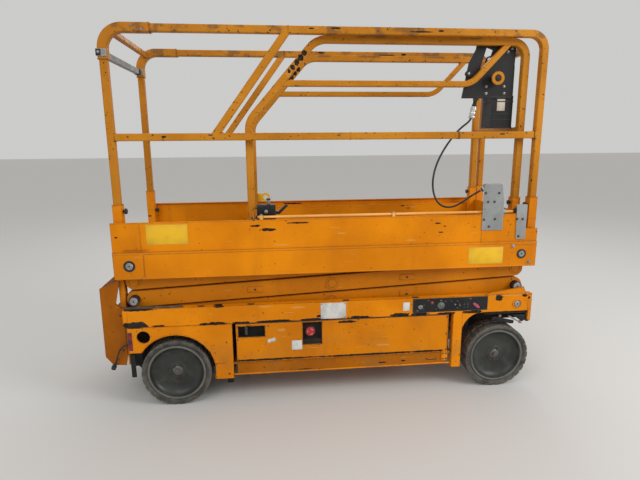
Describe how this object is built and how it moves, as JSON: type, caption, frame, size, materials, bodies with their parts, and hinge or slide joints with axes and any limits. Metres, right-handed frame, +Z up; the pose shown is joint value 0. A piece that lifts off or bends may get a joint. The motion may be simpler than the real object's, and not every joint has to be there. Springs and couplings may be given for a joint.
{
  "type": "scissor lift",
  "caption": "Narrow electric scissor lift with a three-stage arm stack, railed platform, sliding deck extension, rear ladder, steered front wheels and swing-out trays.",
  "frame": {"origin": "on the floor, at the middle of the overall length and width", "axes": "+X along the machine towards the steered wheels, +Y towards the far side, +Z up"},
  "size_m": [2.431, 0.81, 2.021],
  "materials": {
    "paint": "worn satin orange-yellow paint",
    "inner_paint": "dull orange-yellow paint, shaded and dusty",
    "deck_plate": "worn steel tread plate",
    "black_steel": "satin black",
    "rod_steel": "ground and plated",
    "black_panel": "matt black",
    "grey_steel": "light grey, scuffed",
    "red_plastic": "glossy red",
    "rim_grey": "dark grey, dusty",
    "tyre_rubber": "worn grey rubber",
    "cable_black": "matt black sheath"
  },
  "bodies": {
    "chassis": {"chassis_side_near": "paint", "chassis_side_far": "paint", "chassis_top": "paint", "chassis_tub": "paint", "front_gussets": "paint", "rear_housing": "paint", "front_axle": "black_steel", "ladder": "paint", "ground_panel": "black_panel", "charger_lead": "cable_black", "charger_plug": "cable_black"},
    "wheel_rear_near": {"tyre_rear_near": "tyre_rubber", "rim_rear_near": "rim_grey"},
    "wheel_rear_far": {"tyre_rear_far": "tyre_rubber", "rim_rear_far": "rim_grey"},
    "knuckle_near": {"knuckle_near": "black_steel"},
    "knuckle_far": {"knuckle_far": "black_steel"},
    "tie_rod": {"tie_rod": "black_steel"},
    "wheel_front_near": {"tyre_front_near": "tyre_rubber", "rim_front_near": "rim_grey"},
    "wheel_front_far": {"tyre_front_far": "tyre_rubber", "rim_front_far": "rim_grey"},
    "tray_near": {"door_near": "paint", "tray_near": "paint", "batteries": "black_panel", "stop_button": "red_plastic"},
    "tray_far": {"door_far": "paint", "tray_far": "paint", "power_unit": "black_panel"},
    "guard_near": {"guard_near": "paint"},
    "guard_far": {"guard_far": "paint"},
    "inner_1": {"inner_arms_1": "inner_paint", "cross_tubes_1": "inner_paint"},
    "outer_1": {"outer_arms_1": "paint"},
    "inner_2": {"inner_arms_2": "inner_paint", "cross_tubes_2": "inner_paint"},
    "outer_2": {"outer_arms_2": "paint"},
    "inner_3": {"inner_arms_3": "inner_paint", "cross_tubes_3": "inner_paint"},
    "outer_3": {"outer_arms_3": "paint"},
    "lift_barrel": {"lift_barrel": "black_steel"},
    "lift_rod": {"lift_rod": "rod_steel"},
    "platform": {"platform_frame": "paint", "platform_deck": "deck_plate", "toe_boards": "paint", "outer_rail_near": "paint", "outer_rail_far": "paint", "rear_rail": "paint", "rear_sleeves": "paint", "rail_guides": "grey_steel", "guide_rod": "grey_steel", "control_cable": "cable_black"},
    "gate_bar": {"gate_bar": "grey_steel"},
    "extension": {"extension_deck": "paint", "slide_rail_near": "paint", "slide_rail_far": "paint", "front_gate": "paint", "extension_latch": "black_steel", "control_bracket": "black_steel", "control_box": "black_panel"}
  },
  "joints": [
    {"name": "rear_wheel_near_spin", "type": "hinge", "parent": "chassis", "child": "wheel_rear_near", "pos_m": [-0.835, -0.3415, 0.1905], "axis": [0, 1, 0], "continuous": true},
    {"name": "rear_wheel_far_spin", "type": "hinge", "parent": "chassis", "child": "wheel_rear_far", "pos_m": [-0.835, 0.3415, 0.1905], "axis": [0, 1, 0], "continuous": true},
    {"name": "steer_near", "type": "hinge", "parent": "chassis", "child": "knuckle_near", "pos_m": [1.025, -0.248, 0.1905], "axis": [0, 0, 1], "range_deg": [-40, 40]},
    {"name": "steer_far", "type": "hinge", "parent": "chassis", "child": "knuckle_far", "pos_m": [1.025, 0.248, 0.1905], "axis": [0, 0, 1], "range_deg": [-40, 40]},
    {"name": "tie_rod_pin", "type": "hinge", "parent": "knuckle_near", "child": "tie_rod", "pos_m": [0.915, -0.248, 0.176], "axis": [0, 0, 1], "range_deg": [-40, 40]},
    {"name": "front_wheel_near_spin", "type": "hinge", "parent": "knuckle_near", "child": "wheel_front_near", "pos_m": [1.025, -0.3415, 0.1905], "axis": [0, 1, 0], "continuous": true},
    {"name": "front_wheel_far_spin", "type": "hinge", "parent": "knuckle_far", "child": "wheel_front_far", "pos_m": [1.025, 0.3415, 0.1905], "axis": [0, 1, 0], "continuous": true},
    {"name": "tray_near_swing", "type": "hinge", "parent": "chassis", "child": "tray_near", "pos_m": [0.706, -0.385, 0.35], "axis": [0, 0, 1], "range_deg": [0, 90]},
    {"name": "tray_far_swing", "type": "hinge", "parent": "chassis", "child": "tray_far", "pos_m": [0.706, 0.385, 0.35], "axis": [0, 0, -1], "range_deg": [0, 90]},
    {"name": "guard_near_fold", "type": "hinge", "parent": "chassis", "child": "guard_near", "pos_m": [0.11, -0.372, 0.214], "axis": [-1, 0, 0], "range_deg": [0, 90]},
    {"name": "guard_far_fold", "type": "hinge", "parent": "chassis", "child": "guard_far", "pos_m": [0.11, 0.372, 0.214], "axis": [1, 0, 0], "range_deg": [0, 90]},
    {"name": "lift", "type": "hinge", "parent": "chassis", "child": "inner_1", "pos_m": [1.125, 0, 0.514], "axis": [0, 1, 0], "range_deg": [0, 55]},
    {"name": "centre_1", "type": "hinge", "parent": "inner_1", "child": "outer_1", "pos_m": [0.045, 0, 0.564], "axis": [0, 1, 0], "range_deg": [-110, 0]},
    {"name": "front_1", "type": "hinge", "parent": "outer_1", "child": "inner_2", "pos_m": [1.125, 0, 0.614], "axis": [0, 1, 0], "range_deg": [0, 110]},
    {"name": "centre_2", "type": "hinge", "parent": "inner_2", "child": "outer_2", "pos_m": [0.045, 0, 0.664], "axis": [0, 1, 0], "range_deg": [-110, 0]},
    {"name": "front_2", "type": "hinge", "parent": "outer_2", "child": "inner_3", "pos_m": [1.125, 0, 0.714], "axis": [0, 1, 0], "range_deg": [0, 110]},
    {"name": "centre_3", "type": "hinge", "parent": "inner_3", "child": "outer_3", "pos_m": [0.045, 0, 0.764], "axis": [0, 1, 0], "range_deg": [-110, 0]},
    {"name": "platform_level", "type": "hinge", "parent": "outer_3", "child": "platform", "pos_m": [1.125, 0, 0.814], "axis": [0, 1, 0], "range_deg": [0, 55]},
    {"name": "barrel_foot", "type": "hinge", "parent": "inner_1", "child": "lift_barrel", "pos_m": [-0.7326, 0, 0.6], "axis": [0, 1, 0], "range_deg": [-117, 0]},
    {"name": "rod_stroke", "type": "slide", "parent": "lift_barrel", "child": "lift_rod", "axis": [0.998, 0, 0.0638], "range_m": [0, 0.257]},
    {"name": "gate_drop", "type": "slide", "parent": "platform", "child": "gate_bar", "axis": [0, 0, -1], "range_m": [0, 0.4]},
    {"name": "extension_slide", "type": "slide", "parent": "platform", "child": "extension", "axis": [1, 0, 0], "range_m": [0, 0.92]}
  ],
  "couplings": [
    {"joint": "steer_far", "follows": "steer_near", "ratio": 1},
    {"joint": "tie_rod_pin", "follows": "steer_near", "ratio": -1},
    {"joint": "centre_1", "follows": "lift", "ratio": -2},
    {"joint": "front_1", "follows": "lift", "ratio": 2},
    {"joint": "centre_2", "follows": "lift", "ratio": -2},
    {"joint": "front_2", "follows": "lift", "ratio": 2},
    {"joint": "centre_3", "follows": "lift", "ratio": -2},
    {"joint": "platform_level", "follows": "lift", "ratio": 1},
    {"joint": "barrel_foot", "follows": "lift", "ratio": -2.1219},
    {"joint": "rod_stroke", "follows": "lift", "m_per_rad": 0.26728}
  ]
}
